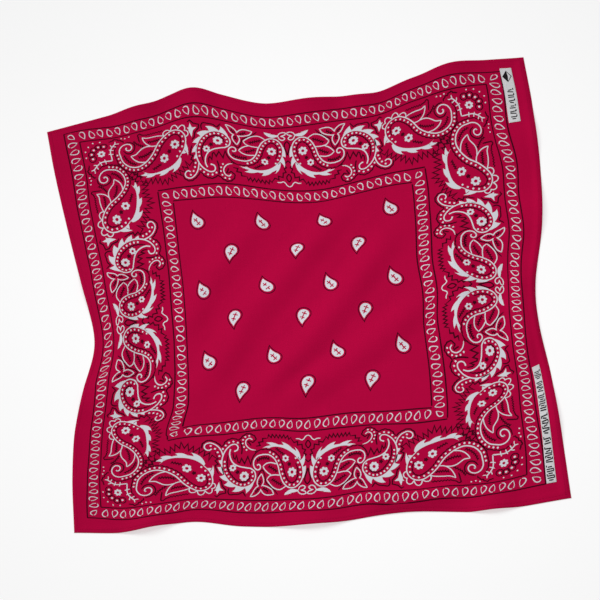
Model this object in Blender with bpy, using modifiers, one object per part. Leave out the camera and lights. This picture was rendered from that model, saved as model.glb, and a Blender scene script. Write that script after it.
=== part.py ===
"""A square printed cotton bandana lying open on a flat surface.

The cloth is one cut piece. A flat sheet with the coordinates (across, along) is laid down by
lie(): short tables say how its edges are drawn in and where soft folds and edge waves stand up.
Everything else is made from the same sheet: the turned hems under its border and the two woven
tapes on its margin. Lengths in the tables are millimetres; the objects are in metres, +Z up,
with the surface that the cloth lies on at Z = 0.
"""

from collections import namedtuple

import bmesh
import bpy
import numpy as np

MM = 0.001

# Cut sheet, hemmed size (mm)
HALF_ACROSS = 275.0
HALF_ALONG = 285.5
WALL = 1.0
GAP = 0.3
HEM_WIDTH = 6.0
HEM_RAMP_END = 10.0
SEGMENT = 13.0

# Woven tapes on the right margin (mm)
Tape = namedtuple("Tape", "inner outer near far")
UPPER_TAPE = Tape(250.0, 261.0, 196.0, 271.5)
LOWER_TAPE = Tape(254.0, 264.0, -265.0, -121.0)

# Centre of the laid cloth's box in the sheet's own coordinates (mm)
BOX_CENTRE = (9.44, 16.23)

# How far from the border the drawing-in of the edges fades out (mm)
EDGE_REACH = 150.0

# Where each corner of the sheet lies, to the right and away from the viewer (mm)
Corner = namedtuple("Corner", "right away")
FAR_LEFT = Corner(-9, -27)
FAR_RIGHT = Corner(26, 31)
NEAR_RIGHT = Corner(3, 10)
NEAR_LEFT = Corner(0, 16)

# How the edges lie between the corners: place along the edge, shift right, shift away (mm)
Pull = namedtuple("Pull", "at right away")
FAR_EDGE = (
    Pull(-205, -5, -10),
    Pull(-160, -4, 1),
    Pull(-115, -4, 18),
    Pull(-20, 2, -9),
    Pull(60, 5, -7),
    Pull(105, 7, -6),
    Pull(150, 9, 12),
    Pull(210, 10, 29),
)
NEAR_EDGE = (
    Pull(-205, -6, 11),
    Pull(-130, -15, 18),
    Pull(-65, -21, 8),
    Pull(20, -17, 3),
    Pull(110, -11, 10),
    Pull(200, -16, 2),
)
LEFT_EDGE = (
    Pull(-205, 1, 4),
    Pull(-140, 6, -8),
    Pull(-70, 19, -22),
    Pull(0, 34, -31),
    Pull(70, 22, -24),
    Pull(140, 10, -22),
    Pull(215, -2, -18),
)
RIGHT_EDGE = (
    Pull(-205, 3, 17),
    Pull(-140, 1, 25),
    Pull(-70, -4, 15),
    Pull(0, -1, 0),
    Pull(70, 17, 7),
    Pull(140, 26, 20),
    Pull(215, 28, 29),
)

# Where the middle of the cloth has slid on the surface: place, radius, shift right and away (mm)
Slide = namedtuple("Slide", "across along radius right away")
SLIDES = (
    Slide(15, 150, 115, 0, -14),
    Slide(208, -110, 95, 1, -21),
    Slide(120, -222, 85, -6, -9),
    Slide(-206, -130, 80, -8, -8),
    Slide(135, 120, 95, 6, 0),
    Slide(-205, 15, 75, -7, 4),
    Slide(0, -150, 110, -4, 3),
    Slide(-75, -225, 80, 4, -7),
    Slide(206, 0, 60, 5, 3),
    Slide(140, 215, 70, 3, 4),
    Slide(-140, 5, 75, 3, -6),
    Slide(-208, 150, 65, -5, 7),
    Slide(-5, -232, 85, 0, -6),
    Slide(-140, -225, 70, 3, -6),
    Slide(212, -218, 65, 1, -8),
    Slide(215, 185, 75, -6, 0),
    Slide(-70, 0, 80, -3, 4),
    Slide(70, -200, 70, -5, -6),
)

# Soft folds: crest from start over middle to end, height, half width (mm)
Fold = namedtuple("Fold", "start middle end height half_width")
FOLDS = (
    Fold((-155, -135), (-40, 5), (95, 178), 5.5, 30),
    Fold((-78, -132), (20, -35), (142, 125), 5.5, 28),
    Fold((-162, -45), (-100, 40), (-10, 168), 4.5, 32),
    Fold((-60, -152), (60, -75), (172, 20), 4.0, 28),
    Fold((-238, -150), (-232, 0), (-225, 130), 9.0, 40),
    Fold((165, -80), (180, 0), (175, 112), 5.0, 36),
    Fold((40, -262), (105, -267), (178, -261), 6.0, 23),
    Fold((261, -130), (257, -40), (261, 45), 6.0, 24),
    Fold((-250, 200), (-185, 222), (-105, 214), 7.0, 34),
)

# Waves that stand up at an edge: place along it, half length, reach inwards, lift (mm)
Wave = namedtuple("Wave", "at half_length reach lift")
FAR_WAVES = (Wave(-172, 34, 65, 6), Wave(-100, 30, 55, 6), Wave(25, 50, 60, 6), Wave(90, 30, 50, 4),
             Wave(200, 40, 60, 6))
NEAR_WAVES = (Wave(-185, 45, 55, 7), Wave(5, 50, 55, 6), Wave(205, 30, 50, 5))
LEFT_WAVES = (Wave(60, 45, 45, 4), Wave(-90, 40, 45, 4))
RIGHT_WAVES = (Wave(90, 45, 50, 5), Wave(180, 40, 45, 4), Wave(-190, 45, 45, 4))

CRIMSON = (0.455, 0.002, 0.041)
TAPE_WHITE = (0.80, 0.79, 0.77)


def hump(t):
    """A round rise of 1 at t = 0 that meets 0 level at t = -1 and t = 1."""
    t = np.clip(np.abs(t), 0, 1)
    return 0.5 * (1 + np.cos(np.pi * t))


def ease(t):
    """A smooth step from 0 at t = 0 to 1 at t = 1."""
    t = np.clip(t, 0, 1)
    return t * t * (3 - 2 * t)


def smooth_line(x, stations, values):
    """A smooth curve through the values at the stations, read at x."""
    stations = np.array(stations, float)
    values = np.array(values, float)
    step = np.diff(stations)
    slope = np.diff(values) / step
    middle = (slope[:-1] * step[1:] + slope[1:] * step[:-1]) / (step[:-1] + step[1:])
    tangent = np.concatenate([slope[:1], middle, slope[-1:]])
    x = np.clip(x, stations[0], stations[-1])
    i = np.clip(np.searchsorted(stations, x, side="right") - 1, 0, len(step) - 1)
    t = (x - stations[i]) / step[i]
    blend = ease(t)
    start_bend = t * (1 - t) ** 2 * step[i] * tangent[i]
    end_bend = t * t * (1 - t) * step[i] * tangent[i + 1]
    return values[i] * (1 - blend) + values[i + 1] * blend + start_bend - end_bend


def edge_line(x, half, first, pulls, last, column):
    """The shift along one edge, from its first corner over its pulls to its last corner."""
    stations = [-half] + [pull.at for pull in pulls] + [half]
    values = [getattr(row, column) for row in (first, *pulls, last)]
    return smooth_line(x, stations, values)


def drift(across, along, column):
    """How far each point of the sheet is shifted in the plane that it lies on."""
    from_left = hump((across + HALF_ACROSS) / EDGE_REACH)
    from_right = hump((HALF_ACROSS - across) / EDGE_REACH)
    from_near = hump((along + HALF_ALONG) / EDGE_REACH)
    from_far = hump((HALF_ALONG - along) / EDGE_REACH)
    far = edge_line(across, HALF_ACROSS, FAR_LEFT, FAR_EDGE, FAR_RIGHT, column)
    near = edge_line(across, HALF_ACROSS, NEAR_LEFT, NEAR_EDGE, NEAR_RIGHT, column)
    left = edge_line(along, HALF_ALONG, NEAR_LEFT, LEFT_EDGE, FAR_LEFT, column)
    right = edge_line(along, HALF_ALONG, NEAR_RIGHT, RIGHT_EDGE, FAR_RIGHT, column)
    shift = from_far * far + from_near * near + from_left * left + from_right * right
    shift -= from_left * from_far * getattr(FAR_LEFT, column)
    shift -= from_right * from_far * getattr(FAR_RIGHT, column)
    shift -= from_left * from_near * getattr(NEAR_LEFT, column)
    shift -= from_right * from_near * getattr(NEAR_RIGHT, column)
    for slide in SLIDES:
        distance = np.hypot(across - slide.across, along - slide.along)
        shift += getattr(slide, column) * hump(distance / slide.radius)
    return shift


def fold_height(across, along, fold, pieces=24):
    """The height of one soft fold, round across its crest and running out at both ends."""
    start, middle, end = (np.array(point, float) for point in (fold.start, fold.middle, fold.end))
    bend = 2 * middle - 0.5 * (start + end)
    s = np.linspace(0, 1, pieces + 1)[:, None]
    crest = (1 - s) ** 2 * start + 2 * s * (1 - s) * bend + s * s * end
    nearest = np.full(across.shape, np.inf)
    travelled = np.zeros(across.shape)
    for k in range(pieces):
        run = crest[k + 1] - crest[k]
        t = ((across - crest[k, 0]) * run[0] + (along - crest[k, 1]) * run[1]) / (run @ run)
        t = np.clip(t, 0, 1)
        away = np.hypot(across - crest[k, 0] - t * run[0], along - crest[k, 1] - t * run[1])
        travelled = np.where(away < nearest, (k + t) / pieces, travelled)
        nearest = np.minimum(nearest, away)
    run_out = ease(travelled / 0.3) * ease((1 - travelled) / 0.3)
    return fold.height * run_out * hump(nearest / fold.half_width)


def wave_height(place, inwards, waves):
    """The height of the waves at one edge."""
    height = np.zeros(place.shape)
    for wave in waves:
        height += wave.lift * hump((place - wave.at) / wave.half_length) * hump(inwards / wave.reach)
    return height


def lie(across, along):
    """The underside of the laid sheet, without the hems: points (n, 3) in mm."""
    x = across + drift(across, along, "right") - BOX_CENTRE[0]
    y = along + drift(across, along, "away") - BOX_CENTRE[1]
    z = np.zeros(across.shape)
    for fold in FOLDS:
        z += fold_height(across, along, fold)
    z += wave_height(across, HALF_ALONG - along, FAR_WAVES)
    z += wave_height(across, HALF_ALONG + along, NEAR_WAVES)
    z += wave_height(along, HALF_ACROSS + across, LEFT_WAVES)
    z += wave_height(along, HALF_ACROSS - across, RIGHT_WAVES)
    return np.stack([x, y, z], axis=-1)


def off_surface(across, along, height):
    """Points at a height (mm) over the sheet's underside, square to it."""
    step = 0.5
    to_right = lie(across + step, along) - lie(across - step, along)
    to_far = lie(across, along + step) - lie(across, along - step)
    normal = np.cross(to_right, to_far)
    normal /= np.linalg.norm(normal, axis=-1, keepdims=True)
    return lie(across, along) + normal * np.asarray(height)[..., None]


def hem_rise(across, along):
    """How high the border of the cloth lies over its own turned hem."""
    inwards = np.minimum(HALF_ACROSS - np.abs(across), HALF_ALONG - np.abs(along))
    ramp = (HEM_RAMP_END - inwards) / (HEM_RAMP_END - HEM_WIDTH - GAP)
    return (WALL + GAP) * np.clip(ramp, 0, 1)


def stations(breaks):
    """Grid lines through every break, no further than a segment apart."""
    lines = [breaks[0]]
    for low, high in zip(breaks, breaks[1:]):
        count = max(1, round((high - low) / SEGMENT))
        lines += [low + (high - low) * (k + 1) / count for k in range(count)]
    return np.array(lines)


def panel_lines():
    """The grid lines of the cloth, which its hems and tapes share."""
    edge = HEM_WIDTH + GAP
    across = stations((-HALF_ACROSS, edge - HALF_ACROSS, HEM_RAMP_END - HALF_ACROSS,
                       UPPER_TAPE.inner, LOWER_TAPE.inner, UPPER_TAPE.outer, LOWER_TAPE.outer,
                       HALF_ACROSS - HEM_RAMP_END, HALF_ACROSS - edge, HALF_ACROSS))
    along = stations((-HALF_ALONG, edge - HALF_ALONG, HEM_RAMP_END - HALF_ALONG,
                      LOWER_TAPE.near, LOWER_TAPE.far, UPPER_TAPE.near, UPPER_TAPE.far,
                      HALF_ALONG - HEM_RAMP_END, HALF_ALONG - edge, HALF_ALONG))
    return across, along


def material(name, colour, roughness):
    """A plain Principled material with one colour."""
    mat = bpy.data.materials.new(name)
    mat.use_nodes = True
    shader = mat.node_tree.nodes["Principled BSDF"]
    shader.inputs["Base Color"].default_value = (*colour, 1.0)
    shader.inputs["Roughness"].default_value = roughness
    shader.inputs["Metallic"].default_value = 0.0
    return mat


def sheet(name, across_lines, along_lines, height, mat, collection):
    """One wall of cloth: a grid laid on the surface at a height, thickened upwards."""
    columns = len(across_lines) - 1
    rows = len(along_lines) - 1
    bm = bmesh.new()
    bmesh.ops.create_grid(bm, x_segments=columns, y_segments=rows, size=1.0)
    column = np.array([round((vert.co.x + 1) / 2 * columns) for vert in bm.verts])
    row = np.array([round((vert.co.y + 1) / 2 * rows) for vert in bm.verts])
    across = across_lines[column]
    along = along_lines[row]
    points = off_surface(across, along, height(across, along)) * MM
    for vert, point in zip(bm.verts, points):
        vert.co = point
    bmesh.ops.triangulate(bm, faces=bm.faces, quad_method="FIXED")
    mesh = bpy.data.meshes.new(name)
    bm.to_mesh(mesh)
    bm.free()
    mesh.shade_smooth()
    mesh.materials.append(mat)
    obj = bpy.data.objects.new(name, mesh)
    collection.objects.link(obj)
    wall = obj.modifiers.new("wall", "SOLIDIFY")
    wall.thickness = WALL * MM
    wall.offset = 1.0
    wall.use_rim = True
    return obj


def build():
    for obj in list(bpy.data.objects):
        bpy.data.objects.remove(obj)
    collection = bpy.data.collections.new("bandana")
    bpy.context.scene.collection.children.link(collection)
    cotton = material("crimson cotton", CRIMSON, 0.85)
    tape = material("white woven tape", TAPE_WHITE, 0.7)

    across, along = panel_lines()
    sheet("cloth", across, along, hem_rise, cotton, collection)

    def flat(a, b):
        return np.zeros(a.shape)

    near_hem = np.array([-HALF_ALONG, HEM_WIDTH - HALF_ALONG])
    sheet("hem_near", across, near_hem, flat, cotton, collection)
    sheet("hem_far", across, -near_hem[::-1], flat, cotton, collection)
    between = along[1:-1].copy()
    left_hem = np.array([-HALF_ACROSS, HEM_WIDTH - HALF_ACROSS])
    sheet("hem_left", left_hem, between, flat, cotton, collection)
    sheet("hem_right", -left_hem[::-1], between, flat, cotton, collection)

    def on_cloth(a, b):
        return np.full(a.shape, WALL + GAP)

    for name, cut in (("label_upper", UPPER_TAPE), ("label_lower", LOWER_TAPE)):
        wide = across[(across > cut.inner - 0.1) & (across < cut.outer + 0.1)]
        long = along[(along > cut.near - 0.1) & (along < cut.far + 0.1)]
        sheet(name, wide, long, on_cloth, tape, collection)


build()
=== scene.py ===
"""A nearly square printed cotton bandana lying open on a light table.

The cloth is one flat sheet with the coordinates (across, along) in millimetres. lie() lays it
down: short tables say how its edges are drawn in and where soft folds and edge waves stand up.
The turned hems, the stitching, the two woven tapes and the print are all drawn flat on the sheet
first and then laid down with it. The print is built from the traditional bandana set: rows of
drops, a border of leaf-filled botehs with scrolls, flowers, berries and thorny vines, and a
middle field of small solid drops.
"""

import math
from collections import namedtuple

import bmesh
import bpy
import numpy as np
from mathutils import Matrix, Vector


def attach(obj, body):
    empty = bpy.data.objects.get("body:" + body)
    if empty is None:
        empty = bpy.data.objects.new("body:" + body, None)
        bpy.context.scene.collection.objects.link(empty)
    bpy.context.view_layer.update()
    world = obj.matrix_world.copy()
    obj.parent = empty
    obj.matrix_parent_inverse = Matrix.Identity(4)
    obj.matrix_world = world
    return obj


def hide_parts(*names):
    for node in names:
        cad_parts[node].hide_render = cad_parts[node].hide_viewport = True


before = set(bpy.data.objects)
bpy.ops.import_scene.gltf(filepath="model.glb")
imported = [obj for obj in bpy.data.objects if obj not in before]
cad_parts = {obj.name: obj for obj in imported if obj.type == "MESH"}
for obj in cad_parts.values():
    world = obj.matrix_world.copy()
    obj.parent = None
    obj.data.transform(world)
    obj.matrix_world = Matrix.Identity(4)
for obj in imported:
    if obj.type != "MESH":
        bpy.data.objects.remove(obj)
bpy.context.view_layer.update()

MM = 0.001

# ---------------------------------------------------------------- the sheet and how it lies

# Cut sheet, hemmed size (mm)
HALF_ACROSS = 275.0
HALF_ALONG = 285.5
HEM_WIDTH = 6.0

# Centre of the laid cloth's box in the sheet's own coordinates (mm)
BOX_CENTRE = (9.44, 16.23)

# How far from the border the drawing-in of the edges fades out (mm)
EDGE_REACH = 150.0


def rows_of(kind, *rows):
    """A table whose rows are all of one kind."""
    return [kind(*row) for row in rows]


# Where each corner of the sheet lies, to the right and away from the viewer (mm)
Corner = namedtuple("Corner", "right away")
FAR_LEFT, FAR_RIGHT, NEAR_RIGHT, NEAR_LEFT = rows_of(Corner, (-9, -27), (26, 31), (3, 10), (0, 16))

# How the edges lie between the corners: place along the edge, shift right, shift away (mm)
Pull = namedtuple("Pull", "at right away")
FAR_EDGE = rows_of(Pull, (-205, -5, -10), (-160, -4, 1), (-115, -4, 18), (-20, 2, -9),
                   (60, 5, -7), (105, 7, -6), (150, 9, 12), (210, 10, 29))
NEAR_EDGE = rows_of(Pull, (-205, -6, 11), (-130, -15, 18), (-65, -21, 8), (20, -17, 3),
                    (110, -11, 10), (200, -16, 2))
LEFT_EDGE = rows_of(Pull, (-205, 1, 4), (-140, 6, -8), (-70, 19, -22), (0, 34, -31),
                    (70, 22, -24), (140, 10, -22), (215, -2, -18))
RIGHT_EDGE = rows_of(Pull, (-205, 3, 17), (-140, 1, 25), (-70, -4, 15), (0, -1, 0),
                     (70, 17, 7), (140, 26, 20), (215, 28, 29))

# Where the middle of the cloth has slid on the surface: place, radius, shift right and away (mm)
Slide = namedtuple("Slide", "across along radius right away")
SLIDES = rows_of(
    Slide,
    (15, 150, 115, 0, -14), (208, -110, 95, 1, -21), (120, -222, 85, -6, -9),
    (-206, -130, 80, -8, -8), (135, 120, 95, 6, 0), (-205, 15, 75, -7, 4),
    (0, -150, 110, -4, 3), (-75, -225, 80, 4, -7), (206, 0, 60, 5, 3),
    (140, 215, 70, 3, 4), (-140, 5, 75, 3, -6), (-208, 150, 65, -5, 7),
    (-5, -232, 85, 0, -6), (-140, -225, 70, 3, -6), (212, -218, 65, 1, -8),
    (215, 185, 75, -6, 0), (-70, 0, 80, -3, 4), (70, -200, 70, -5, -6),
)

# Soft folds: crest from start over middle to end, height, half width (mm)
Fold = namedtuple("Fold", "start middle end height half_width")
FOLDS = rows_of(
    Fold,
    ((-155, -135), (-40, 5), (95, 178), 5.5, 30),
    ((-78, -132), (20, -35), (142, 125), 5.5, 28),
    ((-162, -45), (-100, 40), (-10, 168), 4.5, 32),
    ((-60, -152), (60, -75), (172, 20), 4.0, 28),
    ((-238, -150), (-232, 0), (-225, 130), 9.0, 40),
    ((165, -80), (180, 0), (175, 112), 5.0, 36),
    ((40, -262), (105, -267), (178, -261), 6.0, 23),
    ((261, -130), (257, -40), (261, 45), 6.0, 24),
    ((-250, 200), (-185, 222), (-105, 214), 7.0, 34),
)

# Waves that stand up at an edge: place along it, half length, reach inwards, lift (mm)
Wave = namedtuple("Wave", "at half_length reach lift")
FAR_WAVES = rows_of(Wave, (-172, 34, 65, 6), (-100, 30, 55, 6), (25, 50, 60, 6), (90, 30, 50, 4),
                    (200, 40, 60, 6))
NEAR_WAVES = rows_of(Wave, (-185, 45, 55, 7), (5, 50, 55, 6), (205, 30, 50, 5))
LEFT_WAVES = rows_of(Wave, (60, 45, 45, 4), (-90, 40, 45, 4))
RIGHT_WAVES = rows_of(Wave, (90, 45, 50, 5), (180, 40, 45, 4), (-190, 45, 45, 4))


def hump(t):
    """A round rise of 1 at t = 0 that meets 0 level at t = -1 and t = 1."""
    t = np.clip(np.abs(t), 0, 1)
    return 0.5 * (1 + np.cos(np.pi * t))


def ease(t):
    """A smooth step from 0 at t = 0 to 1 at t = 1."""
    t = np.clip(t, 0, 1)
    return t * t * (3 - 2 * t)


def smooth_line(x, stations, values):
    """A smooth curve through the values at the stations, read at x."""
    stations = np.array(stations, float)
    values = np.array(values, float)
    step = np.diff(stations)
    slope = np.diff(values) / step
    middle = (slope[:-1] * step[1:] + slope[1:] * step[:-1]) / (step[:-1] + step[1:])
    tangent = np.concatenate([slope[:1], middle, slope[-1:]])
    x = np.clip(x, stations[0], stations[-1])
    i = np.clip(np.searchsorted(stations, x, side="right") - 1, 0, len(step) - 1)
    t = (x - stations[i]) / step[i]
    blend = ease(t)
    start_bend = t * (1 - t) ** 2 * step[i] * tangent[i]
    end_bend = t * t * (1 - t) * step[i] * tangent[i + 1]
    return values[i] * (1 - blend) + values[i + 1] * blend + start_bend - end_bend


def edge_line(x, half, first, pulls, last, column):
    """The shift along one edge, from its first corner over its pulls to its last corner."""
    stations = [-half] + [pull.at for pull in pulls] + [half]
    values = [getattr(row, column) for row in (first, *pulls, last)]
    return smooth_line(x, stations, values)


def slid(across, along, slides, column):
    """The sum of some local slides at each point of the sheet."""
    shift = np.zeros(across.shape)
    for slide in slides:
        distance = np.hypot(across - slide.across, along - slide.along)
        shift += getattr(slide, column) * hump(distance / slide.radius)
    return shift


def drift(across, along, column):
    """How far each point of the sheet is shifted in the plane that it lies on."""
    from_left = hump((across + HALF_ACROSS) / EDGE_REACH)
    from_right = hump((HALF_ACROSS - across) / EDGE_REACH)
    from_near = hump((along + HALF_ALONG) / EDGE_REACH)
    from_far = hump((HALF_ALONG - along) / EDGE_REACH)
    far = edge_line(across, HALF_ACROSS, FAR_LEFT, FAR_EDGE, FAR_RIGHT, column)
    near = edge_line(across, HALF_ACROSS, NEAR_LEFT, NEAR_EDGE, NEAR_RIGHT, column)
    left = edge_line(along, HALF_ALONG, NEAR_LEFT, LEFT_EDGE, FAR_LEFT, column)
    right = edge_line(along, HALF_ALONG, NEAR_RIGHT, RIGHT_EDGE, FAR_RIGHT, column)
    shift = from_far * far + from_near * near + from_left * left + from_right * right
    shift -= from_left * from_far * getattr(FAR_LEFT, column)
    shift -= from_right * from_far * getattr(FAR_RIGHT, column)
    shift -= from_left * from_near * getattr(NEAR_LEFT, column)
    shift -= from_right * from_near * getattr(NEAR_RIGHT, column)
    return shift + slid(across, along, SLIDES, column)


def fold_height(across, along, fold, pieces=24):
    """The height of one soft fold, round across its crest and running out at both ends."""
    start, middle, end = (np.array(point, float) for point in (fold.start, fold.middle, fold.end))
    bend = 2 * middle - 0.5 * (start + end)
    s = np.linspace(0, 1, pieces + 1)[:, None]
    crest = (1 - s) ** 2 * start + 2 * s * (1 - s) * bend + s * s * end
    nearest = np.full(across.shape, np.inf)
    travelled = np.zeros(across.shape)
    for k in range(pieces):
        run = crest[k + 1] - crest[k]
        t = ((across - crest[k, 0]) * run[0] + (along - crest[k, 1]) * run[1]) / (run @ run)
        t = np.clip(t, 0, 1)
        away = np.hypot(across - crest[k, 0] - t * run[0], along - crest[k, 1] - t * run[1])
        travelled = np.where(away < nearest, (k + t) / pieces, travelled)
        nearest = np.minimum(nearest, away)
    run_out = ease(travelled / 0.3) * ease((1 - travelled) / 0.3)
    return fold.height * run_out * hump(nearest / fold.half_width)


def wave_height(place, inwards, waves):
    """The height of the waves at one edge."""
    height = np.zeros(place.shape)
    for wave in waves:
        height += wave.lift * hump((place - wave.at) / wave.half_length) * hump(inwards / wave.reach)
    return height


def lie(across, along):
    """The underside of the laid sheet, without the hems: points (n, 3) in mm."""
    x = across + drift(across, along, "right") - BOX_CENTRE[0]
    y = along + drift(across, along, "away") - BOX_CENTRE[1]
    z = np.zeros(across.shape)
    for fold in FOLDS:
        z += fold_height(across, along, fold)
    z += wave_height(across, HALF_ALONG - along, FAR_WAVES)
    z += wave_height(across, HALF_ALONG + along, NEAR_WAVES)
    z += wave_height(along, HALF_ACROSS + across, LEFT_WAVES)
    z += wave_height(along, HALF_ACROSS - across, RIGHT_WAVES)
    return np.stack([x, y, z], axis=-1)


def inset_of(across, along):
    """How far each point of the sheet is from its nearest edge."""
    return np.minimum(HALF_ACROSS - np.abs(across), HALF_ALONG - np.abs(along))


# A close table of the laid sheet: its points and the directions square to it
TABLE_STEP = 2.5
table_across = np.linspace(-HALF_ACROSS, HALF_ACROSS, round(2 * HALF_ACROSS / TABLE_STEP) + 1)
table_along = np.linspace(-HALF_ALONG, HALF_ALONG, round(2 * HALF_ALONG / TABLE_STEP) + 1)
table_points = lie(*np.meshgrid(table_across, table_along, indexing="ij"))
table_normals = np.cross(
    np.gradient(table_points, table_across, axis=0),
    np.gradient(table_points, table_along, axis=1),
)
table_normals /= np.linalg.norm(table_normals, axis=-1, keepdims=True)


def laid(across, along, height):
    """Points (n, 3) in mm at a height over the sheet's underside, read from the table."""
    column = (across + HALF_ACROSS) / (table_across[1] - table_across[0])
    row = (along + HALF_ALONG) / (table_along[1] - table_along[0])
    i = np.clip(np.floor(column).astype(int), 0, len(table_across) - 2)
    j = np.clip(np.floor(row).astype(int), 0, len(table_along) - 2)
    a = (column - i)[..., None]
    b = (row - j)[..., None]

    def between(table):
        near = table[i, j] * (1 - a) + table[i + 1, j] * a
        far = table[i, j + 1] * (1 - a) + table[i + 1, j + 1] * a
        return near * (1 - b) + far * b

    return between(table_points) + between(table_normals) * np.asarray(height)[..., None]


# ---------------------------------------------------------------- finishes

def linear(hex_colour):
    """The linear red, green, blue and alpha of an sRGB hex colour."""
    channels = [int(hex_colour[k:k + 2], 16) / 255 for k in (1, 3, 5)]
    lin = [c / 12.92 if c <= 0.04045 else ((c + 0.055) / 1.055) ** 2.4 for c in channels]
    return (*lin, 1.0)


def add_node(mat, kind, inputs=None, **settings):
    """One node with its settings; an input is a value or another node's output."""
    node = mat.node_tree.nodes.new(kind)
    for name, value in settings.items():
        setattr(node, name, value)
    for name, value in (inputs or {}).items():
        if isinstance(value, bpy.types.NodeSocket):
            mat.node_tree.links.new(value, node.inputs[name])
        else:
            node.inputs[name].default_value = value
    return node


def finish_of(name, colour, roughness, sheen=0.0):
    """A new material and its shader, with the values that are the same all over."""
    mat = bpy.data.materials.new(name)
    mat.use_nodes = True
    shader = mat.node_tree.nodes["Principled BSDF"]
    for socket, value in (("Base Color", colour), ("Roughness", roughness), ("Metallic", 0.0),
                          ("Sheen Weight", sheen), ("Sheen Roughness", 0.5),
                          ("Specular IOR Level", 0.06)):
        shader.inputs[socket].default_value = value
    return mat, shader


SHEET_MAP = "sheet"  # the UV map of every piece: its place on the flat sheet, in metres

WANDER = 260.0       # how soon threads wander off their line, per metre
WANDER_BY = 0.9      # and how far, as a share of their spacing
SLUB_ACROSS = 1 / 0.0012  # slubs are 1.2 mm wide and about 25 mm long
SLUB_ALONG = 1 / 0.025
SLUB_RELIEF = 1.6    # how far slubs stand out against the threads' crowns
PATCHES = 25.0       # dye takes a little unevenly in patches of about 40 mm
# Painted highlight and shade: thread crowns are coloured lighter and the gaps between threads darker,
# standing in for light and shade on the weave's relief
CROWN_PAINTED_SHADE = 0.03   # crowns are lighter and gaps darker by this share


def weave(mat, shader, colour, thread, depth, uneven):
    """Plain weave on the sheet's own coordinates: threads with crowns, slubs and uneven dye, with painted
    highlight on the crowns and painted shade in the gaps.

    thread is the spacing of the threads and depth the height of their crowns, in metres;
    uneven is how far the colour strays from thread to thread.
    """
    def noise(place, scale, **inputs):
        return add_node(mat, "ShaderNodeTexNoise", {"Vector": place, "Scale": scale, **inputs})

    def maths(operation, *values):
        return add_node(mat, "ShaderNodeMath", dict(enumerate(values)), operation=operation).outputs[0]

    def vectors(operation, inputs):
        return add_node(mat, "ShaderNodeVectorMath", inputs, operation=operation).outputs[0]

    def mapped(value, start, end, away):
        """The value's way from start to end, as 1 less or more at most this much."""
        return add_node(mat, "ShaderNodeMapRange", {"Value": value, "From Min": start, "From Max": end,
                                                    "To Min": 1.0 - away, "To Max": 1.0 + away}).outputs[0]

    place = add_node(mat, "ShaderNodeUVMap", uv_map=SHEET_MAP).outputs["UV"]
    wander = noise(place, WANDER, Detail=1.0).outputs["Color"]
    centred = vectors("SUBTRACT", {0: wander, 1: (0.5, 0.5, 0.5)})
    bent = vectors("SCALE", {0: centred, "Scale": WANDER_BY * thread})
    moved = vectors("ADD", {0: place, 1: bent})
    turns = vectors("SCALE", {0: moved, "Scale": math.pi / thread})
    split = add_node(mat, "ShaderNodeSeparateXYZ", {0: turns})
    crowns = maths("MULTIPLY", maths("SINE", split.outputs["X"]), maths("SINE", split.outputs["Y"]))

    # Slubs: thicker stretches of single threads, each way
    streaks = []
    for stretch in ((SLUB_ACROSS, SLUB_ALONG, 1.0), (SLUB_ALONG, SLUB_ACROSS, 1.0)):
        drawn = add_node(mat, "ShaderNodeMapping", {"Vector": place, "Scale": stretch}).outputs[0]
        streaks.append(noise(drawn, 1.0, Detail=2.0, Roughness=0.6).outputs["Fac"])
    slubs = maths("ADD", *streaks)

    patches = noise(place, PATCHES, Detail=3.0).outputs["Fac"]
    dye = mapped(maths("ADD", slubs, patches), 1.0, 2.0, uneven)
    # Painted shade and highlight: darker in the gaps and lighter on the crowns, on top of the uneven dye
    shade = maths("MULTIPLY", dye, mapped(crowns, -1.0, 1.0, CROWN_PAINTED_SHADE))
    dyed = vectors("SCALE", {0: colour[:3], "Scale": shade})
    mat.node_tree.links.new(dyed, shader.inputs["Base Color"])

    relief = maths("MULTIPLY_ADD", slubs, SLUB_RELIEF, crowns)
    bump = add_node(mat, "ShaderNodeBump", {"Height": relief, "Distance": depth, "Strength": 1.0})
    mat.node_tree.links.new(bump.outputs[0], shader.inputs["Normal"])


def woven_finish(name, hex_colour, roughness, thread, uneven, depth=0.00002, sheen=0.0):
    """A material of one colour with the weave of its threads."""
    colour = linear(hex_colour)
    mat, shader = finish_of(name, colour, roughness, sheen)
    weave(mat, shader, colour, thread, depth, uneven)
    return mat


# Spacing of the threads (m). Real cotton threads are 0.4 mm apart; they are drawn 0.8 mm apart so
# that they show.
COTTON_THREAD = 0.0008
TAPE_THREAD = 0.0006
SEWING_THREAD = 0.0005

# Plain-weave cotton, piece-dyed crimson: matt, without nap
cotton = woven_finish("crimson plain-weave cotton", "#AA0039", 0.88, COTTON_THREAD, 0.06, depth=0.00003)

# Spun polyester sewing thread, dyed to match: two-ply, a little glossier than the cloth
thread = woven_finish("crimson sewing thread", "#960034", 0.6, SEWING_THREAD, 0.1)

# Woven polyester satin tape, bleached white: smooth, with fine ribs across it
tape = woven_finish("white woven tape", "#CFCFD1", 0.55, TAPE_THREAD, 0.03, sheen=0.05)

# Black yarn woven into the tapes
yarn = woven_finish("black woven yarn", "#1B191B", 0.7, TAPE_THREAD, 0.1)

# White sewing thread along the tapes
tape_thread = woven_finish("white sewing thread", "#C9C9CB", 0.6, SEWING_THREAD, 0.06)

# Water-based white pigment ink, screen printed: it sits in the weave, thin and matt, and the
# crimson shows a little through it
white_ink = woven_finish("white pigment ink", "#CDCDD4", 0.8, COTTON_THREAD, 0.05)

# Maroon-black discharge ink: darkens the dyed cotton without covering it
dark_ink = woven_finish("dark maroon ink", "#3C0014", 0.85, COTTON_THREAD, 0.08)

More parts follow.
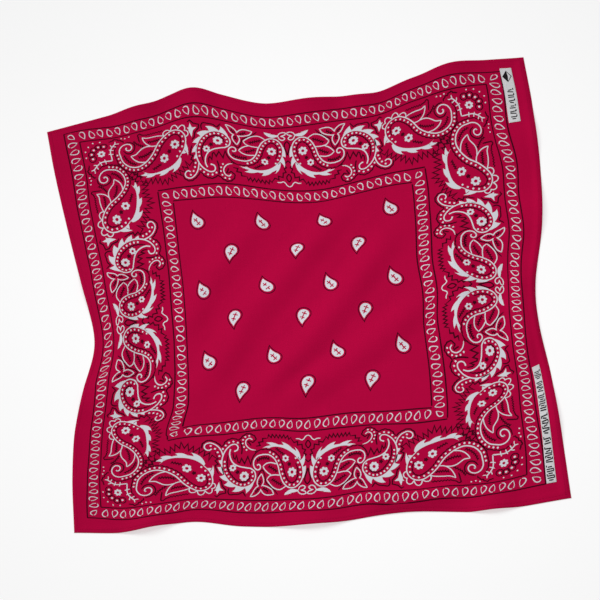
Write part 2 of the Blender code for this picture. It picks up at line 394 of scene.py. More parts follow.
# The same inks where they have soaked through to the reverse, paler and pinker
white_back = woven_finish("white ink soaked through", "#C4557B", 0.88, COTTON_THREAD, 0.08)
dark_back = woven_finish("dark ink soaked through", "#8E0032", 0.88, COTTON_THREAD, 0.08)


# ---------------------------------------------------------------- pieces of cloth

def in_scene(name, data):
    """A new object in the scene that shows a mesh, a light or a camera."""
    thing = bpy.data.objects.new(name, data)
    bpy.context.scene.collection.objects.link(thing)
    return thing


def new_mesh(name, bm):
    """The mesh of a bmesh, which is used up."""
    mesh = bpy.data.meshes.new(name)
    bm.to_mesh(mesh)
    bm.free()
    return mesh


def laid_piece(name, bm, across, along, height, mat):
    """A piece of the bandana that lies with the cloth, from its points' places on the sheet in mm.

    The UV map keeps the same places, in metres.
    """
    mesh = new_mesh(name, bm)
    mesh.vertices.foreach_set("co", (laid(across, along, height) * MM).ravel())
    corner = np.empty(len(mesh.loops), np.int32)
    mesh.loops.foreach_get("vertex_index", corner)
    place = np.stack([across[corner], along[corner]], axis=-1) * MM
    mesh.uv_layers.new(name=SHEET_MAP).data.foreach_set("uv", place.ravel())
    mesh.update()
    mesh.shade_smooth()
    mesh.materials.append(mat)
    piece = in_scene(name, mesh)
    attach(piece, "root")
    return piece


def grid_piece(name, across_at, along_at, height, mat):
    """A grid over the sheet, laid at height[column, row] in mm."""
    columns = len(across_at) - 1
    rows = len(along_at) - 1
    bm = bmesh.new()
    bmesh.ops.create_grid(bm, x_segments=columns, y_segments=rows, size=1.0)
    column = np.array([round((vert.co.x + 1) / 2 * columns) for vert in bm.verts])
    row = np.array([round((vert.co.y + 1) / 2 * rows) for vert in bm.verts])
    return laid_piece(name, bm, across_at[column], along_at[row], height[column, row], mat)


# Layers over the surface that the cloth lies on (mm). Real cloth of 0.3 mm is drawn 0.45 mm thick.
CLOTH_THICK = 0.45
CLOTH_UNDER = 0.15
HEM_THICK = 0.45
HEM_GAP = 0.03
CLOTH_TOP = CLOTH_UNDER + CLOTH_THICK
BORDER_TOP = CLOTH_UNDER + HEM_THICK + HEM_GAP + CLOTH_THICK

# Inside the hem the cloth ramps down to its own height between these insets (mm)
RAMP_START = 5.8
RAMP_END = 12.0

# Between the edge and its stitching the hem is puffed: middle, half width and height (mm)
PUFF_AT = 2.2
PUFF_HALF = 2.3
PUFF = 0.3

# The right hem is rolled a little: it rises over its outer part and fades inwards (mm)
ROLL = 1.3
ROLL_PEAK = 4.6
ROLL_END = 11.5


def right_roll(across, along):
    """How much higher the cloth stands by its right hem; nothing at that side's two ends."""
    inset = HALF_ACROSS - across
    ends = ease((HALF_ALONG - np.abs(along)) / (2 * ROLL_PEAK))
    return ROLL * ease(inset / ROLL_PEAK) * ease((ROLL_END - inset) / (ROLL_END - ROLL_PEAK)) * ends


# The folded edge of the cloth: inset and height of its top face, from the lowest point up (mm)
EDGE_ROUND = ((0.0, 0.46), (0.0, 0.72), (0.1, 0.93), (0.36, 1.07))

# Insets of the grid lines over the hem and the ramp inside it, and the pitch further in (mm)
BORDER_LINES = [0.8, 1.5, 2.2, 2.9, 3.6, 4.3, 5.2, 6.6, 8.0, 9.4, 11.2]
MIDDLE_FROM = 14
MIDDLE_PITCH = 3.0


def top_of(inset):
    """The height of the cloth's top face at an inset from the edge."""
    hem = ease((RAMP_END - inset) / (RAMP_END - RAMP_START))
    return CLOTH_TOP + (BORDER_TOP - CLOTH_TOP) * hem + PUFF * hump((inset - PUFF_AT) / PUFF_HALF)


def cloth_lines(half):
    """Grid lines of the cloth in one direction, and the height that its folded edge caps them at."""
    border = [inset for inset, _ in EDGE_ROUND] + BORDER_LINES
    reach = half - MIDDLE_FROM
    middle = np.linspace(-reach, reach, round(2 * reach / MIDDLE_PITCH) + 1)
    lines = np.concatenate([np.array(border) - half, middle, half - np.array(border[::-1])])
    cap = np.full(len(lines), BORDER_TOP + PUFF)
    for k, (_, height) in enumerate(EDGE_ROUND):
        cap[k] = height
        cap[-1 - k] = height
    return lines, cap


across_lines, across_cap = cloth_lines(HALF_ACROSS)
along_lines, along_cap = cloth_lines(HALF_ALONG)
grid_across, grid_along = np.meshgrid(across_lines, along_lines, indexing="ij")
cloth_height = top_of(inset_of(grid_across, grid_along))
cloth_height = np.minimum(cloth_height, across_cap[:, None])
cloth_height = np.minimum(cloth_height, along_cap[None, :])
cloth_height += right_roll(grid_across, grid_along)
cloth = grid_piece("cotton_cloth", across_lines, along_lines, cloth_height, cotton)
wall = cloth.modifiers.new("wall", "SOLIDIFY")
wall.thickness = CLOTH_THICK * MM
wall.offset = -1.0
wall.use_rim = True
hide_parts("cloth")

# A flat strip over the sheet: its underside, thickness and rounding (mm), finish and slot
Strip = namedtuple("Strip", "under thick rounding mat slot")


def laid_strip(strip, name, node, across_at, along_at):
    """A strip with soft edges that shows in place of one node of the CAD."""
    height = np.full((len(across_at), len(along_at)), strip.under)
    piece = grid_piece(name, across_at, along_at, height, strip.mat)
    layers = piece.modifiers.new("layers", "SOLIDIFY")
    layers.thickness = strip.thick * MM
    layers.offset = 1.0
    rounding = piece.modifiers.new("rounding", "BEVEL")
    rounding.width = strip.rounding * MM
    rounding.segments = 2
    rounding.limit_method = "ANGLE"
    rounding.angle_limit = math.radians(50)
    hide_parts(node)
    return piece


# The turned-in layers under each edge
HEM_STRIP = Strip(CLOTH_UNDER, HEM_THICK, 0.25, cotton, "cotton")
HEM_INSET = 0.55        # the turned layers stay this far inside the folded edge (mm)
SIDE_HEM_GAP = 0.1      # the side hems end this far from the near and far ones (mm)
ACROSS_STATIONS = 184
ALONG_STATIONS = 187
fold_insets = np.array([HEM_INSET, 2.4, 4.3, HEM_WIDTH])
run_across = np.linspace(HEM_INSET - HALF_ACROSS, HALF_ACROSS - HEM_INSET, ACROSS_STATIONS)
run_along = np.linspace(HEM_WIDTH + SIDE_HEM_GAP - HALF_ALONG, HALF_ALONG - HEM_WIDTH - SIDE_HEM_GAP,
                        ALONG_STATIONS)
hems = [
    laid_strip(HEM_STRIP, "turned_hem_near", "hem_near", run_across, fold_insets - HALF_ALONG),
    laid_strip(HEM_STRIP, "turned_hem_far", "hem_far", run_across, HALF_ALONG - fold_insets[::-1]),
    laid_strip(HEM_STRIP, "turned_hem_left", "hem_left", fold_insets - HALF_ACROSS, run_along),
    laid_strip(HEM_STRIP, "turned_hem_right", "hem_right", HALF_ACROSS - fold_insets[::-1], run_along),
]


# ---------------------------------------------------------------- drawing tools for the print

# The print is drawn flat in millimetres, with s along a side from the cloth's corner and t
# inwards from its edge, so that one drawing serves all eight half sides.

def through(*nodes, spacing=1.5):
    """A smooth line through a few points."""
    nodes = np.array(nodes, float)
    chord = lengths(nodes)
    place = np.linspace(0, chord[-1], max(3, round(chord[-1] / spacing) + 1))
    return np.stack([smooth_line(place, chord, nodes[:, k]) for k in (0, 1)], axis=-1)


def straight(*corners):
    """A line with sharp corners."""
    return np.array(corners, float)


def polar(centre, angle, radius):
    """Points at angles and radii about a centre."""
    return np.array(centre) + np.stack([np.cos(angle), np.sin(angle)], axis=-1) * np.reshape(radius, (-1, 1))


def ring(centre, radius, steps=24):
    """A circle about a centre."""
    return polar(centre, np.radians(360.0 * np.linspace(0, 1, steps + 1)), radius)


def curl(centre, inner, outer, start, turn, growth=3.0, steps=40):
    """A scroll that opens from an inner to an outer radius, turning from a start angle."""
    a = np.linspace(0, 1, steps + 1)
    return polar(centre, np.radians(start + turn * a), inner + (outer - inner) * a ** growth)


def arch(start, end, rise, steps=12):
    """Half an oval from start to end that rises to the left of the way between them."""
    start, end = np.array(start, float), np.array(end, float)
    half_turn = np.pi * np.linspace(0, 1, steps + 1)[:, None]
    run = end - start
    side = np.array([-run[1], run[0]]) / np.hypot(*run)
    return start + run * (1 - np.cos(half_turn)) / 2 + side * rise * np.sin(half_turn)


def joined(*lines):
    """Several lines in a row as one."""
    return np.concatenate([lines[0]] + [line[1:] for line in lines[1:]])


def sideways(line):
    """The directions square to a line, long enough to keep its width at sharp corners."""
    step = np.diff(line, axis=0)
    step /= np.maximum(np.hypot(step[:, 0], step[:, 1]), 1e-9)[:, None]
    before = np.concatenate([step[:1], step])
    after = np.concatenate([step, step[-1:]])
    tangent = before + after
    tangent /= np.maximum(np.hypot(tangent[:, 0], tangent[:, 1]), 0.3)[:, None]
    stretch = 1 / np.maximum((tangent * after).sum(axis=1), 0.4)
    return np.stack([-tangent[:, 1], tangent[:, 0]], axis=-1) * stretch[:, None]


def lengths(line):
    """How far along a line each of its points is."""
    return np.concatenate([[0.0], np.cumsum(np.hypot(*np.diff(line, axis=0).T))])


def across_of(line):
    """Directions of length 1 square to a line."""
    direction = sideways(line)
    return direction / np.hypot(direction[:, 0], direction[:, 1])[:, None]


def beside(line, distance, wobble=0.0, pitch=5.0):
    """A line that runs beside another one, with a slight wobble by hand."""
    away = distance + wobble * np.sin(2 * np.pi * lengths(line) / pitch)
    return line + across_of(line) * away[:, None]


def read_at(line, place):
    """Points of a line at distances along it."""
    travelled = lengths(line)
    return np.stack([np.interp(place, travelled, line[:, k]) for k in (0, 1)], axis=-1)


def part_of(line, start, end):
    """The stretch of a line between two shares of its length."""
    steps = max(3, round(len(line) * (end - start)))
    return read_at(line, np.linspace(start, end, steps) * lengths(line)[-1])


def evenly(line, steps):
    """The whole of a line at even steps."""
    return read_at(line, np.linspace(0, lengths(line)[-1], steps + 1))


def spaced(line, pitch, last_pitch=None):
    """Points along a line, evenly spaced or with a pitch that grows to the last one."""
    whole = lengths(line)[-1]
    last_pitch = last_pitch or pitch
    count = max(2, round(whole / (0.5 * (pitch + last_pitch))) + 1)
    steps = np.linspace(pitch, last_pitch, count - 1)
    place = np.concatenate([[0.0], np.cumsum(steps)])
    return read_at(line, place * whole / place[-1])


def zigzag(line, pitch, swing, uneven=0.25):
    """Thorns: a line that jumps from side to side of another one."""
    places = spaced(line, pitch / 2)
    k = np.arange(len(places))
    jump = swing / 2 * np.where(k % 2, 1, -1) * (1 + uneven * np.sin(2.4 * k))
    return places + across_of(places) * jump[:, None]


LIFT_STEP = 0.003  # each stroke lies this much over the one before (mm), so that none share a face,
LIFT_STEPS = 7     # and the steps begin again after so many strokes
TAPER = 5          # how soon a stroke grows to its full width, over its length


class Drawing:
    """Ink of one colour, drawn flat; its lines run wider by spread in the cloth (mm)."""

    def __init__(self, spread=0.0):
        self.bm = bmesh.new()
        self.strokes = 0
        self.spread = spread

    def patch(self, columns, rows, place):
        """A patch of ink: place(a, b) gives the points for a along it and b across it, 0 to 1."""
        verts = bmesh.ops.create_grid(self.bm, x_segments=columns, y_segments=rows, size=0.5)["verts"]
        a = np.array([vert.co.x + 0.5 for vert in verts])
        b = np.array([vert.co.y + 0.5 for vert in verts])
        self.strokes += 1
        lift = LIFT_STEP * (self.strokes % LIFT_STEPS)
        for vert, point in zip(verts, place(a, b)):
            vert.co = (point[0], point[1], lift)

    def ribbon(self, line, half_width):
        """Ink along a line, this far to both sides of each of its points."""
        reach = sideways(line) * half_width[:, None]

        def place(a, b):
            k = np.rint(a * (len(line) - 1)).astype(int)
            return line[k] + reach[k] * (2 * b - 1)[:, None]

        self.patch(len(line) - 1, 1, place)

    def stroke(self, line, width, start=0.6, end=0.6, teeth=0.0, tooth=2.2):
        """A brush line that thins towards its ends; teeth make its edge jagged."""
        a_line = np.linspace(0, 1, len(line))
        full = np.minimum(1, np.minimum(start + TAPER * a_line, end + TAPER * (1 - a_line)))
        full = full * (1 + teeth * np.sin(2 * np.pi * lengths(line) / tooth))
        self.ribbon(line, (width + self.spread) / 2 * full)

    def between(self, one, other, steps=10):
        """Solid ink between two lines that start and end together, or nearly."""
        widest = np.hypot(*(evenly(one, steps) - evenly(other, steps)).T).max()
        one, other = evenly(one, steps), evenly(other, steps)

        def place(a, b):
            k = np.rint(a * steps).astype(int)
            return one[k] * (1 - b)[:, None] + other[k] * b[:, None]

        self.patch(steps, max(1, math.ceil(widest / 2.0)), place)

    def serrated(self, line, thick):
        """A vein with small teeth to both sides."""
        self.stroke(line, 0.45 * thick)
        self.stroke(zigzag(line, 2.8, thick + 0.9), 0.55, start=1, end=1)

    def dot(self, centre, radius, sides=8):
        """A round dot."""
        verts = bmesh.ops.create_circle(self.bm, cap_ends=True, segments=sides, radius=radius)["verts"]
        for vert in verts:
            vert.co += Vector((centre[0], centre[1], 0.0))

    def dots(self, centres, radius):
        """A row of round dots."""
        for centre in centres:
            self.dot(centre, radius)

    def blossom(self, centre, radius, petals, hole, turn=0.0, dip=0.3):
        """An open flower with round petals about a bare middle."""
        def place(a, b):
            angle = 2 * np.pi * a
            edge = radius * (1 - dip + dip * np.abs(np.sin(petals * (angle - turn) / 2)) ** 0.6)
            return polar(centre, angle, hole + (edge - hole) * b)

        self.patch(petals * 6, 1, place)

    def horn(self, root, tip, other_root, bulge=0.12, steps=6):
        """A solid thorn from two roots to a tip, both edges bowed the same way."""
        self.between(bow(root, tip, bulge, steps), bow(other_root, tip, bulge, steps), steps)


def bow(start, end, bulge, steps=8):
    """A shallow curve from start to end; bulge is its rise as a share of its length."""
    start, end = np.array(start, float), np.array(end, float)
    a = np.linspace(0, 1, steps + 1)[:, None]
    run = end - start
    side = np.array([-run[1], run[0]])
    return start + run * a + side * bulge * 4 * a * (1 - a)


def drop_outline(length, width, steps=20, gap=0.0, start=0.0):
    """The outline of a drop about its middle, tip at +length / 2, from its bulb and back to it.

    gap is the share of the turn left open, and start where it opens, in degrees from the bulb.
    """
    open_turn = 2 * np.pi * gap
    angle = np.pi + np.radians(start) + open_turn / 2
    angle = angle + (2 * np.pi - open_turn) * np.linspace(0, 1, steps + 1)
    across = np.sin(angle) * np.abs(np.sin(angle / 2)) * width / 2 / 0.77
    return np.stack([np.cos(angle) * length / 2, across], axis=-1)


def turned(points, angle, centre):
    """Points turned by an angle in degrees and set about a centre."""
    c, s = math.cos(math.radians(angle)), math.sin(math.radians(angle))
    return points @ np.array([[c, s], [-s, c]]) + np.array(centre)


# ---------------------------------------------------------------- the border's half side

white = Drawing(spread=-0.1)  # one half side, drawn once
dark = Drawing(spread=0.4)
LINE = 1.3         # white outlines (mm)
FINE = 1.15        # dark contours (mm)
DOT = 1.15         # dot radius (mm)
WHOLE = dict(start=1, end=1)                # a line that keeps its width to both ends
WAVY = dict(teeth=0.3, tooth=4.7)           # a contour that swells and thins
BERRY = dict(teeth=0.25, tooth=2.5, **WHOLE)  # the jagged ring of a berry
BERRY_HEART = 1.35 # the dot in it
BESIDE_DOTS = 3.1  # a trail of dots runs this far outside its line
INSIDE = 5.8       # and a dark contour this far inside
BUD = (5, 0.1)     # petals and hole of a small dark flower


def outlines(*lines):
    """White outlines, each through its own points."""
    for nodes in lines:
        white.stroke(through(*nodes), LINE)


def horns(*rows):
    """White thorns and flame tips: root, tip, other root and bulge of each."""
    for row in rows:
        white.horn(*row)


def veins(*rows):
    """Dark serrated veins: how thick each is and the points that it runs through."""
    for thick, *nodes in rows:
        dark.serrated(through(*nodes), thick)


def contour(width, *nodes, **ends):
    """A smooth dark line through a few points."""
    dark.stroke(through(*nodes), width, **ends)


def crooked(width, *corners, **ends):
    """A dark line with sharp corners."""
    dark.stroke(straight(*corners), width, **ends)


def wavy(width, away, wobble, *nodes):
    """A dark line that wobbles beside a smooth one."""
    dark.stroke(beside(through(*nodes), away, wobble), width)


def thorns(width, pitch, swing, *nodes, uneven=0.25, **ends):
    """A dark jagged line along a smooth one."""
    dark.stroke(zigzag(through(*nodes), pitch, swing, uneven), width, **ends)


# Frame lines of both rows of drops run the whole side
for inset, thick in ((20.5, 1.1), (37.0, 1.05), (120.0, 1.2), (136.5, 1.1)):
    dark.stroke(through((inset, inset), (275.0, inset), spacing=2.5), thick, **WHOLE)

# Corner sprig: a twig with barbs, berries beside it and a trail of dots
white.stroke(through((71, 71), (70.8, 65), (70.5, 61), (71, 57), (73, 53), (75, 50.3), (77.5, 47.5),
                     (78, 44)), 1.4, start=1)
white.stroke(bow((77.5, 47.5), (82.5, 48), 0.1), 1.1)
for barb in (((68, 61.7), (73.8, 63)), ((69.2, 55.3), (74.8, 57.5)), ((72, 48), (73.4, 52.2)),
             ((74.5, 50.4), (78.4, 52.8))):
    white.stroke(bow(*barb, 0.06), 1.2)
for centre, radius in (((63.8, 48.5), 4.1), ((57.2, 48.0), 3.9)):
    dark.stroke(ring(centre, radius), 0.85, **BERRY)
    white.dot(centre, BERRY_HEART)
white.dots(((51.7, 41.4), (60.0, 41.0), (86.0, 40.7), (90.4, 42.0), (95.4, 41.1)), 0.9)
cloud = through((70.5, 42), (74, 42), (76, 40.5), (79, 40), (82, 42.5), (86, 44.7), (88.3, 48.5),
                spacing=0.7)
dark.stroke(beside(cloud, 0, 0.5, 4.2), 1.2)
thorns(0.9, 5.0, 4.0, (90, 91), (93, 98), (99, 104))
thorns(0.9, 4.6, 3.6, (96, 90), (99, 95), (105, 99))

# First boteh: a long scroll whose line runs over its belly, up the neck and round its head
scroll = curl((92.8, 59.2), 3.05, 12.97, 203, -410)
belly = through(scroll[-1], (83.8, 75), (91, 81.8), (101, 84), (110, 81.2), (120, 74), (130, 61),
                (138.5, 53.5), (145, 50), (151, 49.6), (157, 52.3), (161.3, 59.5), (161.2, 66),
                (158.3, 74.5), (151.5, 83.5))
white.stroke(joined(scroll, belly), 1.45, start=1.2, end=0.5)
white.dot(scroll[0] + (0.4, 0.3), 1.0)
white.dots(spaced(beside(belly, BESIDE_DOTS), 4.7, 6.3), DOT)
inner = beside(joined(part_of(scroll, 0.72, 1.0), belly), INSIDE, 0.5, 4.7)
dark.stroke(part_of(inner, 0.0, 0.93), 0.9, **WAVY)
contour(FINE, (86.5, 61.5), (90.5, 66), (95.5, 66.5), (100.3, 61.5), (101, 56.5), (96.5, 51), (90, 49.3))

# Its two leaves, with serrated veins in and about them
outlines(((111.2, 47.5), (112, 52), (115, 58.5), (121, 63.5), (128, 64.6)),
         ((111.2, 47.5), (115, 49.7), (125, 50.8), (132, 52), (138.5, 54.3)),
         ((94.5, 70.2), (101, 69.3), (105, 66.5), (109, 63.8), (114, 62.5), (120.5, 63.2)),
         ((94.5, 70.2), (97, 74), (100.5, 77.2), (105, 79.3), (112, 80.3)))
veins((1.7, (117, 56), (124, 57.6), (131.5, 57)),
      (1.7, (103.5, 73), (112, 73), (121, 69)),
      (1.3, (86.5, 67.5), (90, 75), (99.5, 81)),
      (1.6, (100.5, 50), (104.5, 56.5), (112, 60.8)),
      (1.6, (118.5, 90.5), (124, 88.8), (129.5, 86.8)))
contour(FINE, (107.5, 54), (106.6, 46), (106.6, 41.5), (108.5, 40.8), (111, 43), (115, 44.5), end=1)
thorns(0.8, 3.4, 1.5, (115, 44.5), (122, 45), (129, 45.2), (136.5, 45.5), start=1)

# Scallops over its head
for start, end, rise in (((137.3, 55), (145.4, 49.8), -5.8), ((145.8, 49.8), (154.2, 49.6), -6.8),
                         ((154.3, 49.3), (161.3, 52.7), -6.0), ((160.8, 52.3), (161.5, 60), -4.0)):
    white.stroke(arch(start, end, rise), LINE)

# Blossoms in its head and belly
white.blossom((148.3, 67.5), 5.4, 7, 1.9)
white.blossom((133.8, 81), 5.1, 6, 1.8)
dark.blossom((140.7, 74.5), 2.5, *BUD, dip=0.45)

# Its crest: a solid band under the belly that breaks into flame tips
crest = through((152, 83), (147, 88), (140, 92), (130, 94.6), (120, 95.6), (112, 94.3), (106, 90.5))
crest_out = through((153.5, 85), (150, 90.5), (143, 95), (133, 97.3), (122, 97.8), (112.5, 95.7),
                    (106, 90.5))
white.between(crest, crest_out, 30)
horns(((109.5, 92.5), (102.8, 95), (112, 97), -0.10),
      ((111, 95.5), (108.8, 99.5), (121.5, 97.2), -0.12),
      ((127, 96.5), (124.8, 100.6), (139, 94.8), -0.14),
      ((143, 94.3), (140.8, 99.8), (153.5, 85.5), -0.16),
      ((158, 75), (161.6, 82.6), (161.2, 67.5), -0.08),
      ((154.5, 79.5), (160.2, 79.5), (157.8, 74.5), 0.05))

# Thorns beneath the crest
thorns(0.85, 5.6, 7.6, (102.5, 104.5), (110, 104.5), (118, 107.3), (126, 108), (134, 109), (142, 106.3),
       (149, 101.5), (156, 96), (161, 92.5), (167, 95.5), uneven=0.4)

# Star between the first two botehs
horns(((166.2, 51), (168.3, 44.0), (170.6, 50.6), 0.0),
      ((169.3, 49.6), (175.3, 49.5), (170.6, 53.4), 0.0),
      ((171, 53), (168.8, 61.3), (165.8, 52.5), 0.0),
      ((167.8, 54.5), (164.6, 49.2), (168.3, 50), 0.0))
white.between(straight((166.2, 50.5), (170.6, 50.2)), straight((166.2, 54.5), (170.8, 54)), 2)
crooked(FINE, (165.5, 42.5), (168.5, 40.5), (172, 44.5), (178, 46), (177.5, 50.5), (173, 55.5),
        (171.5, 62), (168.5, 64.8))

# Second boteh: hooked, with its line round the head and back down the inside of the neck
second = joined(
    through((187, 96.3), (190.2, 98), (191.3, 101.5), (189.5, 104.8), (185.5, 105.4), (180, 102.5),
            (174, 95), (171.5, 86), (171.8, 78), (174.5, 69.5), (180, 61.5), (188, 55.5), (197.5, 53),
            (206, 56), (211, 63.5), (209.8, 70.5), (205, 74.5)),
    through((205, 74.5), (198, 76), (191, 78), (185, 82), (181.3, 89), (180.8, 95), (182.3, 99.7)),
)
white.stroke(second, 1.5, start=1.3, end=1.1)
white.dot((187.2, 96.6), 1.0)
neck = through((171.8, 88), (171.6, 80), (174.2, 70.5), (180, 61.5), (188, 55.5), (197.5, 53), (206, 56),
               (211, 63.5), (209.6, 71))
white.dots(spaced(part_of(beside(neck, BESIDE_DOTS), 0.04, 1.0), 4.85), DOT)
wavy(1.0, 5.9, 0.3, (172.8, 94), (171.6, 84), (173, 74), (178.3, 64.5), (186, 56.7), (195, 53.5),
     (203.5, 55.3), (209, 61), (210.4, 66))
white.blossom((197.5, 66), 5.5, 8, 1.9, dip=0.2)
white.blossom((183.9, 77), 4.1, 7, 1.45, dip=0.28)
dark.blossom((189.5, 71.5), 2.5, *BUD, dip=0.45)
horns(((188.5, 54.5), (185, 48.1), (199.8, 52.5), 0.16),
      ((199.5, 52.5), (201.8, 45.8), (209.5, 58.5), 0.08),
      ((179, 62), (174.8, 57.2), (190, 54.3), 0.12),
      ((174.3, 70), (168.8, 68.6), (179.5, 61), 0.10),
      ((171.8, 80.3), (166.6, 80.2), (174.5, 69.5), 0.10),
      ((171.5, 88), (168, 88), (172.2, 81), 0.08))
contour(1.1, (181, 52.5), (180.5, 47.5), (182.5, 44), (188, 44.3), (194, 44.8), (198, 47.2), (199.7, 45),
        (202, 42))
crooked(1.1, (167.8, 71.5), (165, 78), (164.2, 82.5), (167.5, 83.5), (164.3, 88), (168.5, 91))
crooked(1.1, (184.5, 95), (185, 89), (186.7, 87), (188.5, 91), (190, 83), (191.8, 82), (194, 87),
        (197.5, 80.5), (201.5, 88.5), (204.7, 79), (206, 84), (208, 88), (211.5, 92), (216, 94.5))

# Scroll that hangs from the second boteh, with its own trail of dots
hanging = through((173, 93.5), (171.8, 99), (166.3, 107.5), (160.5, 110.2), (156, 108), (155.2, 104.5),
                  (157, 101.7), (160, 101.1), (162, 102.7))
white.stroke(hanging, 1.4, start=0.8, end=1.2)
white.dots(((169.2, 93), (167.8, 97.8), (165.5, 102.3), (161.6, 106.3)), DOT)
white.dots(spaced(through((173.7, 101.2), (178, 105.6), (182, 108.5), (187.2, 109), (191.8, 106.8)),
                  4.9), DOT)
wavy(FINE, 0, 0.3, (152.5, 104), (153.3, 108.5), (160, 113.5), (168, 110), (173.5, 104))
wavy(FINE, 0, 0.35, (173.5, 104), (179, 111), (187, 113.3), (194, 110.5), (198.5, 114.5), (204, 117),
     (211.3, 113.3), (213, 109), (209, 105), (204.5, 107.5))
contour(1.2, (194.3, 92), (195.5, 98), (195.5, 104), (194.5, 109))

# Comma scroll between the second and third botehs
white.stroke(through((211.5, 94.7), (206.5, 96), (202, 100), (200.5, 105), (202.5, 109.3), (206, 110.6),
                     (208.7, 108.3)), LINE, start=0.3, end=1.1)
white.dots(spaced(through((200.5, 96.4), (197.8, 101), (197.4, 107), (200.8, 112.8), (206, 113.8)),
                  4.4), 1.05)
dark.stroke(bow((206.2, 101), (203, 107), -0.08), FINE)

# Trefoil: three small outlined leaves with serrated veins
outlines(((207.3, 41.8), (209.5, 46.5), (211, 50), (213, 52.8), (216, 54.5)),
         ((207.3, 41.8), (212, 42.6), (216, 45.3), (218.5, 48.5), (219, 51)),
         ((236, 44.5), (231, 43.7), (226, 44), (222, 46.3), (219.3, 50)),
         ((236, 44.5), (233, 49.7), (228, 52.8), (224, 54.3), (220.3, 55)),
         ((218.4, 68), (215.2, 64), (213.7, 60), (214, 56.5), (215.8, 54)),
         ((218.4, 68), (220.7, 63.5), (221.6, 60), (221, 56.5), (219.3, 54)))
for start, end, thick in (((213, 47), (216.6, 51.3), 1.5), ((221.5, 51.7), (228.5, 47.8), 1.7),
                          ((217.2, 55.8), (217.7, 60.8), 1.7)):
    dark.serrated(bow(start, end, 0.05), thick)
contour(0.9, (241, 44), (237, 48.5), (233, 52), (228.5, 55.5), (224.5, 58.5), (223.3, 63), (221.7, 68.5),
        (219, 72), (216, 69.5), (213.8, 65))

# Third boteh: a small scroll, a round belly and a head like the first one's
third = joined(
    through((212.5, 77.5), (214.7, 78.3), (216.7, 76.3), (216.3, 73.6), (213.5, 72.3), (210, 74.3),
            (208.2, 78.5), (209, 83.5), (213, 87.5), (220, 89)),
    through((220, 89), (227, 88.3), (233.5, 84.5), (238.3, 77.5), (242, 66.5), (248, 56.3), (254.5, 52),
            (261, 52.3), (267, 57.5), (269.7, 65.5), (268.7, 75.5), (263.5, 86.5)),
)
white.stroke(third, 1.45, start=1.2, end=0.5)
white.dots(spaced(beside(part_of(third, 0.33, 1.0), BESIDE_DOTS), 4.7, 5.6), DOT)
dark.stroke(part_of(beside(part_of(third, 0.22, 1.0), 6.0, 0.5, 4.7), 0.0, 0.95), 0.9, **WAVY)
outlines(((225.3, 61.3), (229, 57), (236, 51.5), (242.5, 49.8), (250.5, 53.8)),
         ((225.3, 61.3), (228.5, 65.2), (233, 66.2), (241.7, 66)),
         ((219.7, 75.5), (223, 71.5), (227, 68.3), (231, 66.2)),
         ((219.7, 75.5), (223.5, 78.5), (228.5, 79.6), (237.3, 78)))
veins((1.9, (231.5, 61.5), (238, 58.6), (245, 55)),
      (1.9, (226.5, 75.5), (232, 73.5), (238, 70)),
      (2.4, (212.5, 82), (217, 84.6), (222, 85.3), (228, 83.3)),
      (1.6, (236, 95.5), (241, 92.2), (246.5, 88.8)))
white.blossom((256.7, 69.3), 5.4, 7, 1.85)
white.blossom((248.3, 84.4), 4.1, 6, 1.5)
dark.blossom((253, 78), 2.4, *BUD, dip=0.45)
crest = through((264, 83.5), (258.5, 89.5), (252, 93.8), (244, 96.8), (234, 97.6), (225, 95.3))
crest_out = through((266.3, 84.5), (262.5, 92), (255, 97.5), (245.5, 100), (234.5, 99.6), (225, 95.3))
white.between(crest, crest_out, 26)
horns(((228, 95.7), (219.6, 96.4), (232, 98.8), -0.08),
      ((230.5, 98), (224.2, 102.4), (240.5, 99.4), -0.10),
      ((246, 97.5), (243.6, 103.9), (258.5, 93.5), -0.12),
      ((261, 92.5), (258.7, 99.2), (266.5, 84), -0.12),
      ((265, 82), (270.8, 90), (268.8, 75.5), -0.10),
      ((268.2, 75), (272.6, 76.6), (270.2, 62), -0.06))

# Thorns beneath the third boteh
crooked(FINE, (212, 99.5), (217, 99.8), (215.5, 104), (220.5, 104.3), (220.5, 108.3), (225.5, 108.3))
thorns(0.9, 4.4, 4.4, (226, 110), (234, 111), (244, 111.5), (255, 109.5))
crooked(1.05, (255, 110), (258.5, 104.5), (263, 106.3), (262.7, 101.5), (268, 102.8), (268.5, 97),
        (272, 96), (270, 91.5), (272.7, 90), (270, 85.8), (275, 81), end=1)

# Middle of the side: half a bow with a solid wing, loops, a stepped spire and a wave
white.horn((250.5, 46.5), (249, 43), (258, 45), 0.0)
white.between(through((249, 43), (255, 45.3), (260, 46), (265.5, 47.3)),
              through((249, 43), (252.5, 48), (257.5, 50.3), (265.5, 48.8)), 12)
outlines(((264.5, 48.2), (267, 44.8), (271, 43.4), (274.3, 44.7), (273, 46.9), (269, 48.2)),
         ((265, 48.6), (267.2, 52.8), (270.5, 54), (273, 52.2), (271.5, 49.6), (268, 48.5)))
contour(FINE, (275, 55.5), (272.3, 59), (272, 63), (273.5, 68.5), (275, 74), **WHOLE)
contour(1.1, (275, 98), (273.2, 100.3), (272.2, 103), (273.2, 106), (275, 108.5), **WHOLE)
white.stroke(through((261, 109.7), (264.5, 109.9), (268.3, 108.5), (270.5, 110.3), (272.5, 113.6),
                     (275, 114.8)), 1.25, end=1)

# Each corner once: the berry, the dot and the flower on its diagonal
corner_white = Drawing()
corner_dark = Drawing()
corner_dark.stroke(ring((51.4, 51.4), 4.0), 1.0, **BERRY)
corner_white.dot((51.4, 51.4), BERRY_HEART)
corner_white.dot((45.7, 45.7), 0.9)
corner_white.blossom((59.5, 59.5), 4.8, 7, 1.55, turn=0.3)


# ---------------------------------------------------------------- drops in rows and in the field

# A frame of drops: half sizes, drops between the corners of each side and where the first one is
DropFrame = namedtuple("DropFrame", "half_across half_along across_count along_count gap_across gap_along")

